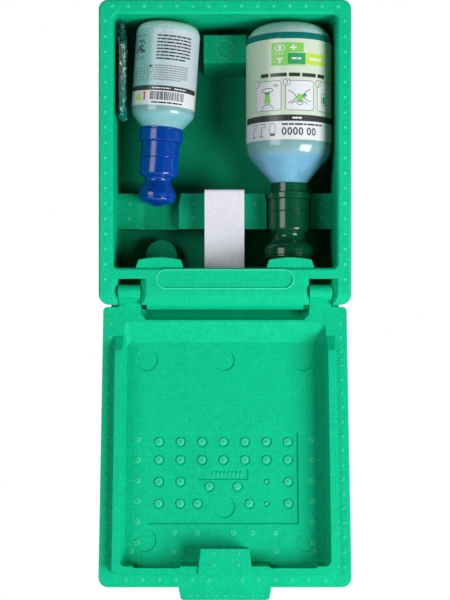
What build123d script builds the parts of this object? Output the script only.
from build123d import *
import os
from dataclasses import dataclass

os.makedirs("parts", exist_ok=True)

# Wall-hung eyewash station: a moulded foam case that holds a large and a small rinsing bottle,
# a dressing carton and a pad in a film pouch, with a tray-shaped lid hinged at its foot.
# Millimetres.  +Z up, -Y out of the wall, +X to the right as one faces the case.
# Heights below are measured from the case's lowest edge.  save() lowers every piece by
# screw_centre, so that the model's origin is the middle of the screw pattern on the wall face.

# ---------------------------------------------------------------- case
case_width = 210.0
case_height = 258.0
back_wall = 12.0
large_body_radius = 36.8
bottle_room = 1.2         # before and behind the large bottle's body
case_depth = back_wall + 2 * (large_body_radius + bottle_room)
case_corner = 8.0
case_edge = 2.0           # rounding of the front face's outer edges
rim_width = 10.4          # flat rim round the opening, outside the mouth chamfer
mouth_chamfer = 1.6
cavity_corner = 4.0
floor_top = 35.0          # top of the cavity floor
foot_round = 15.0         # radius of the barrel along the front of the foot
foot_lift = 4.2           # the case's underside, above the barrel's lowest line
barrel_half = 65.5        # half the barrel's length
lug_corner = 9.0
skirt_drop = 8.0          # the back wall reaches below the foot, behind the lid's gap
skirt_depth = 8.0
cavity_half = case_width / 2 - rim_width - mouth_chamfer
cavity_top = case_height - rim_width - mouth_chamfer
large_x = cavity_half - 1.0 - large_body_radius

# screws through the back wall, hidden behind the bottles
screw_centre = 155.0
screw_spacing_x = 110.0
screw_spacing_z = 80.0
screw_hole_radius = 2.75
screw_head_radius = 8.0
screw_head_depth = 4.0

# notches in the foot for the lid's arms
notch_inner = 70.0        # distance of the notch's near side from the middle plane
notch_width = 19.5
notch_top = 26.0
notch_depth = 32.0
notch_bevel = 4.4

# plain obround field on the foot's face
field_length = 113.0
field_height = 15.0
field_centre = 25.7
field_depth = 0.7

# cross bar, top block, bosses and back domes inside the cavity
bar_bottom = 70.0
bar_top = 101.0
bar_depth = 28.0
pocket_clearance = 1.5    # beside an eyecup's barrel
pocket_seat = 10.0        # how far the pockets reach behind the bar's face
pocket_corner = 7.0
pocket_flare = 12.0       # degrees, over the pockets' top
pocket_flare_height = 9.0
block_half_width = large_x - large_body_radius + 0.2
block_bottom = 214.6
block_height = 24.0
block_depth = 28.0
block_slope = 7.0
mark_depth = 0.6
block_mark_radius = 7.5
boss_x = large_x - 0.7
boss_base = 40.5
boss_top = 35.0
boss_height = 6.8
boss_crown = 2.0
boss_setback = 2.0
boss_length = 26.0
dome_x = large_x + 0.8
dome_width = 27.5
dome_height = 26.0
dome_depth = 15.0

# ---------------------------------------------------------------- lid
hinge_setback = 6.0       # hinge axis behind the case's front plane
hinge_height = 15.0       # hinge axis above the case's lowest edge
lid_gap = 0.4             # between the closed lid and the case
lid_inset = 3.0           # of the closed lid's sides from the case's sides
lid_drop = 2.4            # of the closed lid's far edge below the case's top
lid_width = case_width - 2 * lid_inset
lid_start = 11.6          # from the hinge axis to the lid's foot edge
lid_end = case_height - hinge_height - lid_drop
lid_depth = 27.0
lid_corner = 8.0
lid_foot_corner = 3.5
lid_edge = 3.0
lid_strip = 10.8          # flat strip outside the tongue
tongue_width = 7.0
tongue_height = 7.0
tongue_draft = 6.0
tongue_start = 34.0
tongue_ramp = 17.0
tray_depth = 10.5
tray_draft = 1.6
tray_corner = 5.0
ridge_start = 24.4        # hinge axis to the ridge at the foot of the tray
slope_run = 15.6
scoop_radius = 23.4
scoop_gap = 0.6           # past each end of the barrel
scoop_flare = 6.0
arm_clearance = 0.5
arm_depth = 12.0
arm_heel = 9.0            # where the arm's inner face leaves the lid's plane
knuckle_radius = 6.0
pin_radius = 2.5
pin_clearance = 0.05
pin_grip = 8.0            # length of pin held in the foam at each side of a notch
rest_angle = 169.9        # how far the lid has swung open when it hangs free

# latch block and pull tab at the lid's far edge
latch_width = 39.0
latch_flare = 5.0
latch_start = lid_end - 30.6
latch_length = 20.0
latch_height = 8.0
tab_root = 75.6
tab_tip = 70.8
tab_length = 10.2
tab_depth = 9.0
tab_corner = 3.0

# shallow moulding marks on the tray floor
plate_width = 124.0
plate_length = 75.0
plate_centre = 153.0
plate_x = -1.5
plate_depth = 1.0
plate_corner = 1.5
vent_radius = 4.5
vent_groove = 1.1
vent_depth = 0.6
vent_pitch_x = 17.8
vent_row_pitch = 14.9
vent_first_row = 123.2
vent_third_row = vent_first_row + 2.2 * vent_row_pitch
vent_fourth_row = vent_third_row + 1.2 * vent_row_pitch
small_vent_radius = 2.6
name_width = 41.0
name_height = 9.0
name_centre = 150.0
name_corner = 1.0
floor_mark_radius = 9.0
floor_mark_x = 65.5
floor_mark_rows = (55.2, 203.8)
middle_mark_x = -1.0
plate_mark_row = 176.8
wall_recess_width = 39.0
wall_recess_depth = 2.4
wall_recess_x = 55.0

# sign plate let into the lid's outer face
sign_size = 96.0
sign_thickness = 0.6
sign_corner = 6.0
sign_centre = 135.0


# ---------------------------------------------------------------- bottles
@dataclass
class Bottle:
    name: str
    x: float              # of the eyecup's lip centre
    depth: float          # of the lip centre behind the case's front plane
    lip: float            # height of the lip's lower edge
    lean: float           # degrees, top towards +X
    body_radius: float
    base_top: float       # from here on, heights above the lip
    base_round: float
    shoulder_top: float
    shoulder_round: float
    neck_top: float
    neck_radius: float    # where the shoulder's cone meets the collar
    finish_radius: float
    finish_end: float
    wall: float
    label_low: float
    label_high: float
    label_angle: float
    collar_low: float
    collar_radius: float
    band_low: float
    band_radius: float
    barrel_low: float
    barrel_radius: float
    groove_at: float
    waist_at: float
    waist_radius: float
    lip_height: float
    lip_radius: float
    cover_drop: float


large = Bottle(name="large", x=large_x, depth=large_body_radius + bottle_room,
               lip=floor_top + boss_height + boss_crown + 3.0, lean=0.0,
               body_radius=large_body_radius, base_top=196.6,
               base_round=17.0, shoulder_top=86.5, shoulder_round=20.0, neck_top=61.4, neck_radius=15.3,
               finish_radius=13.2, finish_end=41.0, wall=1.1, label_low=95.0,
               label_high=179.0, label_angle=318.0, collar_low=48.0, collar_radius=18.9, band_low=54.0,
               band_radius=16.4, barrel_low=21.6, barrel_radius=17.5, groove_at=37.6, waist_at=16.6,
               waist_radius=13.8, lip_height=5.6, lip_radius=21.6, cover_drop=2.4)

small = Bottle(name="small", x=34.6 - cavity_half, depth=33.0, lip=96.0, lean=4.0,
               body_radius=27.0, base_top=147.6,
               base_round=7.5, shoulder_top=70.0, shoulder_round=8.0, neck_top=59.0, neck_radius=17.5,
               finish_radius=12.2, finish_end=40.0, wall=1.0, label_low=75.2,
               label_high=139.8, label_angle=322.0, collar_low=47.0, collar_radius=18.9, band_low=57.6,
               band_radius=18.2, barrel_low=19.2, barrel_radius=16.7, groove_at=33.5, waist_at=14.4,
               waist_radius=11.4, lip_height=3.4, lip_radius=16.1, cover_drop=7.5)

label_thickness = 0.25
label_clearance = 0.02
liquid_clearance = 0.05
air_gap = 12.0            # air left above the liquid, under the upturned base
cap_wall = 1.5
cap_gap = 0.3             # between the turning eyecup and the parts that stay
groove_size = 0.5
collar_bevel = 1.0
barrel_step = 1.6         # straight start of an eyecup's barrel, over its swell
lip_round = 0.6
cover_rim = 0.8
nozzle_flange = 1.6
nozzle_depth = 8.0
nozzle_holes = 6
nozzle_hole_radius = 1.0
nozzle_hole_circle = 6.0
nozzle_wall = 1.5
seal_thickness = 1.2
cover_wall = 1.2
cover_plug = 2.2

# ---------------------------------------------------------------- carton and pouch
carton_x = -0.5
carton_width = 34.0
carton_depth = 17.6
carton_height = 66.0
carton_wall = 0.7
carton_gap = 0.4          # to the bar behind it, and between its body and its flap
flap_thickness = 0.7
flap_tuck = 3.0
tuck_inset = 2.0
gauze_gap = 0.5
gauze_height = 58.0
gauze_round = 3.0

pouch_width = 10.2
pouch_depth = 36.0
pouch_low = 160.0
pouch_high = 244.6
pouch_front = 12.0        # behind the case's front plane
pouch_wall_gap = 0.6
pouch_film = 0.6
pouch_round = 3.0
pad_width = 5.0
pad_depth = 27.0
pad_height = 58.0
pad_low = 169.0
pad_round = 1.5

front = -case_depth
cavity_centre = (floor_top + cavity_top) / 2
hinge_y = front + hinge_setback
strip_y = front - lid_gap
tray_y = strip_y - tray_depth
hinge_axis = Axis((0, hinge_y, hinge_height), (1, 0, 0))
bar_face = -(back_wall + bar_depth)


def save(name, piece):
    """Write one piece, lowered so that the origin is the middle of the screw pattern."""
    piece.label = name
    export_step(Pos(0, 0, -screw_centre) * piece, f"parts/{name}.step")


def frontal(y):
    """A plane facing the viewer at depth y: its local x is X and its local y is height."""
    return Plane.XZ.offset(-y)


def slab(y, towards, outline):
    """Extrude an outline, drawn in X and height, from y by so much towards the viewer."""
    return extrude(frontal(y) * outline, amount=towards)


def span_box(x_low, x_high, y_low, y_high, z_low, z_high):
    """A box between two corners."""
    middle = Pos((x_low + x_high) / 2, (y_low + y_high) / 2, (z_low + z_high) / 2)
    return middle * Box(x_high - x_low, y_high - y_low, z_high - z_low)


def along_x(x_low, x_high, outline):
    """Extrude an outline, drawn in Y and height, between two places on X."""
    return extrude(Plane.YZ.offset(x_low) * outline, amount=x_high - x_low)


def turned(*edges):
    """Revolve a closed outline of radius and height about +Z."""
    return revolve(Plane.XZ * make_face(Wire(list(edges))), Axis.Z)


def lathe(points):
    """Revolve a closed polygon of (radius, height) points about +Z."""
    return revolve(Plane.XZ * make_face(Polyline(*points, close=True)), Axis.Z)


# ---------------------------------------------------------------- case shell
def case_blank():
    """The outer block with round corners, standing on a round barrel along its front edge."""
    outline = Pos(0, (foot_lift + case_height) / 2) * Rectangle(case_width, case_height - foot_lift)
    outline = fillet(outline.vertices().group_by(Axis.Y)[-1], case_corner)
    outline = fillet(outline.vertices().group_by(Axis.Y)[0], lug_corner)
    block = slab(0, case_depth, outline)
    block = fillet(block.faces().sort_by(Axis.Y)[0].edges(), case_edge)
    side = Pos(-case_depth / 2, case_height / 2) * Rectangle(case_depth, case_height)
    foot_corner = side.vertices().sort_by(Axis.X)[:2].sort_by(Axis.Y)[0]
    block &= along_x(-case_width / 2, case_width / 2, fillet(foot_corner, foot_round))
    barrel = Pos(front + foot_round, foot_round) * Circle(foot_round)
    block += along_x(-barrel_half, barrel_half, barrel)
    return block + span_box(-lid_width / 2, lid_width / 2, -skirt_depth, 0, -skirt_drop, foot_round)


def cavity():
    """The space inside, with a chamfered mouth."""
    outline = Pos(0, cavity_centre) * RectangleRounded(
        2 * cavity_half, cavity_top - floor_top, cavity_corner)
    space = slab(-back_wall, case_depth - back_wall, outline)
    mouth = extrude(frontal(front + mouth_chamfer) * outline, amount=mouth_chamfer, taper=-45)
    return space + mouth


def pocket(bottle):
    """Room for an eyecup in the bar: round at the back, flared at the top."""
    half = bottle.barrel_radius + pocket_clearance
    depth = 2 * pocket_seat
    outline = Pos(bottle.x, bar_face) * RectangleRounded(2 * half, depth, pocket_corner)
    room = extrude(Pos(0, 0, bar_bottom - 1) * outline, amount=bar_top - bar_bottom + 2)
    flare_low = Pos(0, 0, bar_top - pocket_flare_height)
    return room + extrude(flare_low * outline, amount=pocket_flare_height + 1, taper=-pocket_flare)


def boss(x):
    """Low crowned boss that an eyecup can stand on."""
    half_base = boss_base / 2
    half_top = boss_top / 2
    foot = floor_top - 1
    shoulder = floor_top + boss_height
    sides = Polyline((half_top, shoulder), (half_base, foot), (-half_base, foot), (-half_top, shoulder))
    crown = ThreePointArc((-half_top, shoulder), (0, shoulder + boss_crown), (half_top, shoulder))
    outline = make_face(Wire([*sides.edges(), crown]))
    return Pos(x) * slab(front + boss_setback + boss_length, boss_length, outline)


def back_dome(x):
    """Round-topped rib on the back wall, under the bar."""
    radius = dome_width / 2
    waist = floor_top + dome_height - radius
    outline = Pos(0, waist) * Circle(radius)
    outline += Pos(0, (floor_top - 1 + waist) / 2) * Rectangle(dome_width, waist - floor_top + 1)
    return Pos(x) * slab(-back_wall + 1, dome_depth + 1, outline)


def top_block():
    """Block on the back wall that keeps the bottles apart, sloped underneath."""
    depth = block_depth + 1
    y_back = -back_wall + 1
    points = [(y_back, block_bottom - block_slope), (y_back - depth, block_bottom),
              (y_back - depth, block_bottom + block_height), (y_back, block_bottom + block_height)]
    block = along_x(-block_half_width, block_half_width, make_face(Polyline(*points, close=True)))
    mark = Pos(0, block_bottom + block_height / 2) * Circle(block_mark_radius)
    return block - slab(y_back - depth + mark_depth, mark_depth + 1, mark)


def notch(side):
    """Notch in the foot for one of the lid's arms, bevelled at its mouth."""
    near = notch_inner
    far = notch_inner + notch_width
    points = [(near, front + notch_depth), (near, front + notch_bevel), (near - notch_bevel, front),
              (near - notch_bevel, front - 1), (far + notch_bevel, front - 1), (far + notch_bevel, front),
              (far, front + notch_bevel), (far, front + notch_depth)]
    outline = make_face(Polyline(*[(side * x, y) for x, y in points], close=True))
    return extrude(Pos(0, 0, -1) * outline, amount=notch_top + 1)


def pin_solid(side, clearance):
    """Hinge pin of one arm, or with a clearance the hole that it sits in."""
    near = notch_inner - pin_grip
    length = notch_width + 2 * pin_grip
    place = Pos(side * (near + length / 2), hinge_y, hinge_height)
    return place * Rot(0, 90, 0) * Cylinder(pin_radius + clearance, length)


def screw_places():
    """Centres of the four wall screws, as X and height."""
    return [(x * screw_spacing_x / 2, screw_centre + z * screw_spacing_z / 2)
            for x in (-1, 1) for z in (-1, 1)]


def case_shell():
    """The whole moulded case."""
    shell = case_blank() - cavity()
    bar = span_box(-cavity_half - 1, cavity_half + 1, bar_face, -back_wall + 1, bar_bottom, bar_top)
    shell += bar - pocket(large) - pocket(small)
    shell += top_block()
    for side in (-1, 1):
        shell += boss(side * boss_x)
        shell += back_dome(side * dome_x)
        shell -= notch(side)
        shell -= pin_solid(side, 0)
    field = Pos(0, field_centre) * SlotOverall(field_length, field_height)
    shell -= slab(front + field_depth, field_depth + 1, field)
    for x, z in screw_places():
        shell -= slab(1, back_wall + 2, Pos(x, z) * Circle(screw_hole_radius))
        shell -= slab(-back_wall + screw_head_depth, screw_head_depth + 1,
                      Pos(x, z) * Circle(screw_head_radius))
    return shell


# ---------------------------------------------------------------- lid
def lid_height(distance):
    """Height, with the lid closed, of a place so far from the hinge axis."""
    return hinge_height + distance


def lid_outline(inset, start, end, corner):
    """Rounded outline in X and height, from start to end along the closed lid."""
    middle = Pos(0, lid_height((start + end) / 2))
    return middle * RectangleRounded(lid_width - 2 * inset, end - start, corner)


def lid_blank():
    """Outer block of the lid, its outer edges rounded, relieved round the hinge."""
    outline = Pos(0, lid_height((lid_start + lid_end) / 2)) * Rectangle(lid_width, lid_end - lid_start)
    outline = fillet(outline.vertices().group_by(Axis.Y)[-1], lid_corner)
    outline = fillet(outline.vertices().group_by(Axis.Y)[0], lid_foot_corner)
    block = slab(strip_y, lid_depth, outline)
    block = fillet(block.faces().sort_by(Axis.Y)[0].edges(), lid_edge)
    full = barrel_half + scoop_gap
    half = full + scoop_flare
    narrow = scoop_radius - scoop_flare
    profile = [(0, -half), (narrow, -half), (scoop_radius, -full), (scoop_radius, full), (narrow, half),
               (0, half)]
    scoop = Pos(0, hinge_y, hinge_height) * Rot(0, 90, 0) * lathe(profile)
    return block - scoop


def lid_tongue():
    """Raised tongue on three sides that enters the case's mouth, ramped at its two ends."""
    end = lid_end - lid_strip
    outer = lid_outline(lid_strip, 0, end, tray_corner)
    top = strip_y + tongue_height
    ring = extrude(frontal(top) * outer, amount=tongue_height + 1, taper=-tongue_draft)
    low = lid_height(tongue_start)
    keep = [(top + 1, low + tongue_ramp), (strip_y - 1, low), (strip_y - 1, lid_height(lid_end)),
            (top + 1, lid_height(lid_end))]
    return ring & along_x(-lid_width / 2, lid_width / 2, make_face(Polyline(*keep, close=True)))


def lid_tray():
    """Space inside the lid and its tongue: steep sides, and a long slope at the hinge end."""
    inset = lid_strip + tongue_width
    end = lid_end - inset
    proud = tongue_height + 1
    rise = proud / tray_depth
    mouth = frontal(strip_y + proud) * lid_outline(
        inset - rise * tray_draft, ridge_start - rise * slope_run, end + rise * tray_draft, tray_corner)
    bottom = frontal(tray_y) * lid_outline(
        inset + tray_draft, ridge_start + slope_run, end - tray_draft, tray_corner)
    return loft([mouth.faces()[0], bottom.faces()[0]], ruled=True)


def lid_arm(side):
    """Arm and knuckle of one hinge.  It passes in front of the case's face when closed."""
    inner = -hinge_setback - lid_gap
    outer = inner - arm_depth
    bend = knuckle_radius * 0.7071
    points = [(inner, ridge_start), (inner, arm_heel), (bend, bend), (-bend, -bend),
              (outer, 0), (outer, ridge_start)]
    outline = make_face(Polyline(*points, close=True)) + Circle(knuckle_radius)
    outline -= Circle(pin_radius + pin_clearance)
    near = notch_inner + arm_clearance
    far = notch_inner + notch_width - arm_clearance
    low, high = sorted((side * near, side * far))
    return along_x(low, high, Pos(hinge_y, hinge_height) * outline)


def lid_latch():
    """Raised block at the tongue and the pull tab beyond the lid's edge."""
    half = latch_width / 2
    root = half + latch_flare / 2
    start = lid_height(latch_start)
    points = [(-half, start), (half, start), (root, start + latch_length), (-root, start + latch_length)]
    block = slab(strip_y + latch_height, latch_height + tray_depth + 1,
                 make_face(Polyline(*points, close=True)))
    edge = lid_height(lid_end)
    tip = edge + tab_length
    tab_points = [(-tab_root / 2, edge - 2), (tab_root / 2, edge - 2),
                  (tab_tip / 2, tip), (-tab_tip / 2, tip)]
    tab = make_face(Polyline(*tab_points, close=True))
    tab = fillet(tab.vertices().group_by(Axis.Y)[-1], tab_corner)
    return block + slab(strip_y, tab_depth, tab)


def vent_places():
    """Steam vents in the plate: (x, distance from the hinge, radius)."""
    places = []
    for column in range(-3, 4):
        x = plate_x + column * vent_pitch_x
        for row in (0, 1):
            places.append((x, vent_first_row + row * vent_row_pitch, vent_radius))
        radius = small_vent_radius if column == 2 else vent_radius
        if abs(column) > 1:
            places.append((x, vent_third_row, radius))
            places.append((x, vent_fourth_row, radius))
    for x in (-1.2, 1.2):
        places.append((plate_x + x * vent_pitch_x, vent_fourth_row, vent_radius))
    for x in (-0.65, 0.65):
        places.append((plate_x + x * vent_pitch_x, vent_third_row + 4, vent_radius))
    return places


def floor_marks():
    """Everything that is moulded shallowly into the tray floor."""
    plate = Pos(plate_x, lid_height(plate_centre)) * RectangleRounded(
        plate_width, plate_length, plate_corner)
    cut = slab(tray_y + 1, plate_depth + 1, plate)
    name = Pos(plate_x, lid_height(name_centre)) * RectangleRounded(name_width, name_height, name_corner)
    cut += slab(tray_y, plate_depth + vent_depth, name)
    for x, distance, radius in vent_places():
        ring = Circle(radius) - Circle(radius - vent_groove)
        cut += slab(tray_y, plate_depth + vent_depth, Pos(x, lid_height(distance)) * ring)
    disc = Pos(middle_mark_x, lid_height(plate_mark_row)) * Circle(floor_mark_radius)
    cut += slab(tray_y, plate_depth + mark_depth, disc)
    marks = [(side * floor_mark_x, row) for side in (-1, 1) for row in floor_mark_rows]
    marks += [(middle_mark_x, floor_mark_rows[0])]
    for x, distance in marks:
        cut += slab(tray_y + 1, mark_depth + 1, Pos(x, lid_height(distance)) * Circle(floor_mark_radius))
    return cut


def wall_recesses():
    """Two shallow recesses in the tray's far wall, in front of the bottles' bases."""
    end = lid_end - lid_strip - tongue_width
    rooms = Part()
    for side in (-1, 1):
        outline = Pos(side * wall_recess_x, lid_height(end)) * RectangleRounded(
            wall_recess_width, 2 * wall_recess_depth, 2)
        rooms += slab(strip_y + tongue_height + 1, tray_depth + tongue_height + 1, outline)
    return rooms


def sign_outline():
    """Rounded square of the sign, in X and height."""
    return Pos(0, lid_height(sign_centre)) * RectangleRounded(sign_size, sign_size, sign_corner)


def lid_shell():
    """The whole lid, closed."""
    shell = lid_blank() + lid_tongue() - lid_tray()
    shell = shell + lid_latch() - wall_recesses() - floor_marks()
    for side in (-1, 1):
        shell += lid_arm(side)
    outer_y = strip_y - lid_depth
    return shell - slab(outer_y + sign_thickness, sign_thickness + 1, sign_outline())


def lid_sign():
    """Thin sign plate, flush in the lid's outer face."""
    return slab(strip_y - lid_depth + sign_thickness, sign_thickness, sign_outline())


def swung(piece):
    """Turn a piece of the closed lid about the hinge to where the lid hangs."""
    return piece.rotate(hinge_axis, rest_angle)


# ---------------------------------------------------------------- bottle pieces
def placed(bottle, piece):
    """Put a piece drawn about +Z, with the lip at height 0, where its bottle stands."""
    return Pos(bottle.x, front + bottle.depth, bottle.lip) * Rot(0, bottle.lean, 0) * piece


def bottle_solid(b, inset, top, neck_end):
    """Body of revolution of a bottle, shrunk by inset and cut off at top and at its neck's end."""
    radius = b.body_radius - inset
    high = b.base_top - inset
    cone_low = b.neck_top + inset
    neck = b.neck_radius - inset
    finish = b.finish_radius - inset
    outline = make_face(Polyline(
        (0, high), (0, neck_end), (finish, neck_end), (finish, cone_low), (neck, cone_low),
        (radius, b.shoulder_top), (radius, high), close=True))
    shoulder = outline.vertices().sort_by_distance((radius, b.shoulder_top))[0]
    outline = fillet(shoulder, b.shoulder_round - inset)
    base = outline.vertices().sort_by_distance((radius, high))[0]
    solid = revolve(Plane.XZ * fillet(base, b.base_round - inset), Axis.Z)
    return solid & lathe([(0, neck_end - 1), (radius + 1, neck_end - 1), (radius + 1, top), (0, top)])


def bottle_shell(b):
    """Blow-moulded bottle, open at the neck."""
    inside = bottle_solid(b, b.wall, b.base_top, b.finish_end - 1)
    return bottle_solid(b, 0, b.base_top + 1, b.finish_end) - inside


def bottle_liquid(b):
    """Rinsing liquid, from the nozzle up to the air under the upturned base."""
    low = b.finish_end + nozzle_depth + liquid_clearance
    return bottle_solid(b, b.wall + liquid_clearance, b.base_top - air_gap, low)


def bottle_label(b):
    """Wrap-round label, with a gap at the back."""
    inner = b.body_radius + label_clearance
    outer = inner + label_thickness
    profile = make_face(Polyline((inner, b.label_low), (outer, b.label_low), (outer, b.label_high),
                                 (inner, b.label_high), close=True))
    wrap = revolve(Plane.XZ * profile, Axis.Z, b.label_angle)
    return Rot(0, 0, 90 + (360 - b.label_angle) / 2) * wrap


def bottle_collar(b):
    """Ring between bottle and eyecup: a bevelled grip ring under a plain band."""
    bore = b.finish_radius + liquid_clearance
    outer = b.collar_radius
    inner = outer - collar_bevel
    return lathe([(bore, b.collar_low), (inner, b.collar_low), (outer, b.collar_low + collar_bevel),
                  (outer, b.band_low - collar_bevel), (inner, b.band_low), (b.band_radius, b.band_low),
                  (b.band_radius, b.neck_top - liquid_clearance), (bore, b.neck_top - liquid_clearance)])


def bottle_nozzle(b):
    """Plug in the bottle's mouth with a ring of outlet holes."""
    stem = b.finish_radius - b.wall - liquid_clearance
    end = b.finish_end - liquid_clearance
    plug = lathe([(0, end - nozzle_flange), (b.finish_radius, end - nozzle_flange),
                  (b.finish_radius, end), (stem, end), (stem, end + nozzle_depth),
                  (stem - nozzle_wall, end + nozzle_depth), (stem - nozzle_wall, end + nozzle_wall),
                  (0, end + nozzle_wall)])
    for turn in range(nozzle_holes):
        hole = Pos(nozzle_hole_circle, 0, end) * Cylinder(nozzle_hole_radius, 4 * nozzle_flange)
        plug -= Rot(0, 0, turn * 360 / nozzle_holes) * hole
    return plug


def neck_seal(b):
    """Flat sealing washer round the neck, under the collar."""
    inner = b.finish_radius + liquid_clearance
    outer = b.barrel_radius - cap_wall - cap_gap
    top = b.collar_low - liquid_clearance
    return lathe([(inner, top - seal_thickness), (outer, top - seal_thickness), (outer, top), (inner, top)])


def eyecup(b):
    """Barrel, waist and flared eye bath in one piece."""
    top = b.collar_low - cap_gap
    lip_inner = b.lip_radius - cap_wall
    throat = b.waist_radius - cap_wall
    bore = b.barrel_radius - cap_wall
    flare = Spline((b.lip_radius, b.lip_height), (b.waist_radius + 0.9, b.waist_at - 3),
                   (b.waist_radius, b.waist_at), tangents=[(-0.35, 1), (0, 1)])
    swell = Spline((b.waist_radius, b.waist_at), (b.barrel_radius, b.barrel_low + barrel_step),
                   tangents=[(0, 1), (0, 1)])
    barrel = Polyline((b.barrel_radius, b.barrel_low + barrel_step),
                      (b.barrel_radius, b.groove_at - groove_size),
                      (b.barrel_radius - groove_size, b.groove_at),
                      (b.barrel_radius, b.groove_at + groove_size), (b.barrel_radius, top), (bore, top),
                      (bore, b.barrel_low + cap_wall + 2), (throat, b.waist_at + cap_wall),
                      (throat, b.waist_at - 2), (lip_inner, b.lip_height - 1), (lip_inner, 0),
                      (b.lip_radius - lip_round, 0), (b.lip_radius, lip_round), (b.lip_radius, b.lip_height))
    return turned(flare, swell, *barrel.edges())


def dust_cover(b):
    """Domed cover that plugs the eye bath."""
    outer = b.lip_radius - 0.3
    plug = b.lip_radius - cap_wall - cap_gap
    rim = -cap_gap
    low = rim - b.cover_drop
    dome = Spline((outer, rim - cover_rim), (outer * 0.55, low + b.cover_drop * 0.28), (0, low),
                  tangents=[(-0.25, -1), (-1, 0)])
    sides = Polyline((0, low), (0, rim), (plug - cover_wall, rim), (plug - cover_wall, cover_plug),
                     (plug, cover_plug), (plug, rim), (outer, rim), (outer, rim - cover_rim))
    return turned(dome, *sides.edges())


# ---------------------------------------------------------------- carton and pouch
carton_back = bar_face - carton_gap
carton_front = carton_back - carton_depth
carton_left = carton_x - carton_width / 2
carton_right = carton_x + carton_width / 2
carton_low = floor_top + carton_gap
carton_top = carton_low + carton_height


def carton_body():
    """Folded card box, open at the top under its flap."""
    wall = carton_wall
    box = span_box(carton_left, carton_right, carton_front, carton_back, carton_low, carton_top)
    return box - span_box(carton_left + wall, carton_right - wall, carton_front + wall,
                          carton_back - wall, carton_low + wall, carton_top + 1)


def carton_flap():
    """Top flap with a tuck that goes down inside the front."""
    low = carton_top + carton_gap
    flap = span_box(carton_left, carton_right, carton_front, carton_back, low, low + flap_thickness)
    inner = carton_front + carton_wall + carton_gap
    tuck = span_box(carton_left + tuck_inset, carton_right - tuck_inset, inner, inner + flap_thickness,
                    low - flap_tuck, low + flap_thickness)
    return flap + tuck


def gauze_pack():
    """Dressing pack inside the carton, behind the tuck."""
    inset = carton_wall + gauze_gap
    front_face = carton_front + inset + carton_gap + flap_thickness
    back_face = carton_back - inset
    low = carton_low + carton_wall
    pack = Pos(carton_x, (front_face + back_face) / 2, low + gauze_height / 2)
    pack *= Box(carton_width - 2 * inset, back_face - front_face, gauze_height)
    upper = pack.edges().filter_by(Axis.X).group_by(Axis.Z)[-1]
    return fillet(upper, gauze_round)


def pouch_block(inset):
    """Rounded block of the pouch, shrunk by inset."""
    left = -cavity_half + pouch_wall_gap
    y_front = front + pouch_front
    width = pouch_width - 2 * inset
    depth = pouch_depth - 2 * inset
    height = pouch_high - pouch_low - 2 * inset
    place = Pos(left + pouch_width / 2, y_front + pouch_depth / 2, (pouch_low + pouch_high) / 2)
    block = place * Box(width, depth, height)
    return fillet(block.edges().filter_by(Axis.Y), pouch_round - inset)


def pouch_pad():
    """Folded eye pad in the pouch."""
    x = -cavity_half + pouch_wall_gap + pouch_width / 2
    y = front + pouch_front + pouch_depth / 2
    pad = Pos(x, y, pad_low + pad_height / 2) * Box(pad_width, pad_depth, pad_height)
    return fillet(pad.edges().filter_by(Axis.Z), pad_round)


# ---------------------------------------------------------------- write the pieces
save("case_shell", case_shell())
for side_name, side_sign in (("left", -1), ("right", 1)):
    save(f"hinge_pin_{side_name}", pin_solid(side_sign, 0))
save("lid_shell", swung(lid_shell()))
save("lid_sign", swung(lid_sign()))
for spec in (large, small):
    pieces = {
        "bottle": bottle_shell(spec),
        "liquid": bottle_liquid(spec),
        "label": bottle_label(spec),
        "collar": bottle_collar(spec),
        "nozzle": bottle_nozzle(spec),
        "neck_seal": neck_seal(spec),
        "eyecup": eyecup(spec),
        "dust_cover": dust_cover(spec),
    }
    for piece_name, piece_shape in pieces.items():
        save(f"{spec.name}_{piece_name}", placed(spec, piece_shape))
save("carton_body", carton_body())
save("carton_flap", carton_flap())
save("gauze_pack", gauze_pack())
save("pouch_film", pouch_block(0) - pouch_block(pouch_film))
save("pouch_pad", pouch_pad())
